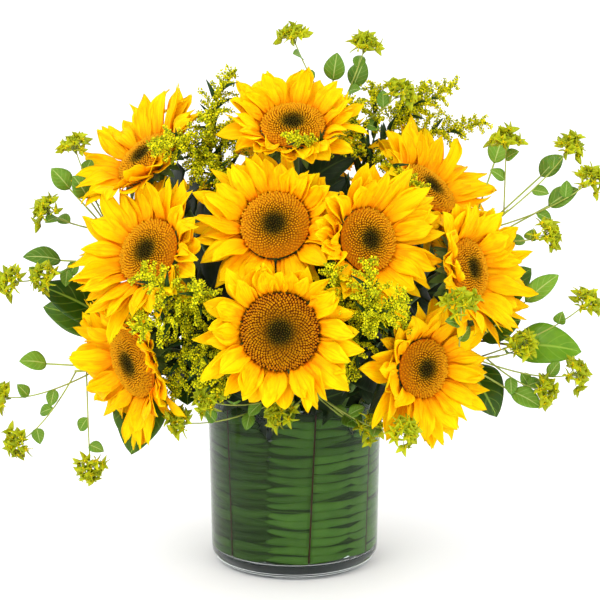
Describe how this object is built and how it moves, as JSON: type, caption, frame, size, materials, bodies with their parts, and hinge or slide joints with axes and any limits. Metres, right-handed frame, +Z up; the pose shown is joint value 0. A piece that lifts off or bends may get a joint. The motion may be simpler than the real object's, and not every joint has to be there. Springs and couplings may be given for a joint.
{
  "type": "sunflowers in a vase",
  "caption": "Domed bunch of sunflowers with goldenrod, bupleurum and salal, standing in water in a clear glass cylinder lined with fern fronds.",
  "frame": {"origin": "centre of the vase's flat underside", "axes": "+Z up; the front of the bunch faces -Y, and +X is to the right of someone who looks at it"},
  "size_m": [0.5207, 0.3305, 0.4711],
  "materials": {
    "glass": "clear polished glass",
    "water": "clear still water",
    "fern": "satin deep green leaflets, brown rib",
    "petal": "soft golden-yellow petals",
    "seed_disc": "matte green, brown and ochre florets",
    "stem": "green hairy stem and bracts",
    "goldenrod": "matte yellow-green florets",
    "salal": "satin dark green leaves",
    "bupleurum": "satin lime-green bracts and leaves"
  },
  "bodies": {
    "root": {"vase_glass": "glass", "water": "water", "fern_frond_1": "fern", "fern_frond_2": "fern", "fern_frond_3": "fern", "fern_frond_4": "fern", "fern_frond_5": "fern", "fern_frond_6": "fern", "petals_front": "petal", "disc_front": "seed_disc", "stem_front": "stem", "petals_centre": "petal", "disc_centre": "seed_disc", "stem_centre": "stem", "petals_top": "petal", "disc_top": "seed_disc", "stem_top": "stem", "petals_right_centre": "petal", "disc_right_centre": "seed_disc", "stem_right_centre": "stem", "petals_lower_right": "petal", "disc_lower_right": "seed_disc", "stem_lower_right": "stem", "petals_right": "petal", "disc_right": "seed_disc", "stem_right": "stem", "petals_upper_right": "petal", "disc_upper_right": "seed_disc", "stem_upper_right": "stem", "petals_left": "petal", "disc_left": "seed_disc", "stem_left": "stem", "petals_lower_left": "petal", "disc_lower_left": "seed_disc", "stem_lower_left": "stem", "petals_upper_left": "petal", "disc_upper_left": "seed_disc", "stem_upper_left": "stem", "petals_back_left": "petal", "disc_back_left": "seed_disc", "stem_back_left": "stem", "petals_back_right": "petal", "disc_back_right": "seed_disc", "stem_back_right": "stem", "petals_back_top": "petal", "disc_back_top": "seed_disc", "stem_back_top": "stem", "goldenrod_1": "goldenrod", "goldenrod_2": "goldenrod", "goldenrod_3": "goldenrod", "goldenrod_4": "goldenrod", "salal_1": "salal", "salal_2": "salal", "salal_3": "salal", "bupleurum_1": "bupleurum", "bupleurum_2": "bupleurum", "bupleurum_3": "bupleurum", "bupleurum_4": "bupleurum", "bupleurum_5": "bupleurum", "bupleurum_6": "bupleurum"}
  },
  "joints": []
}
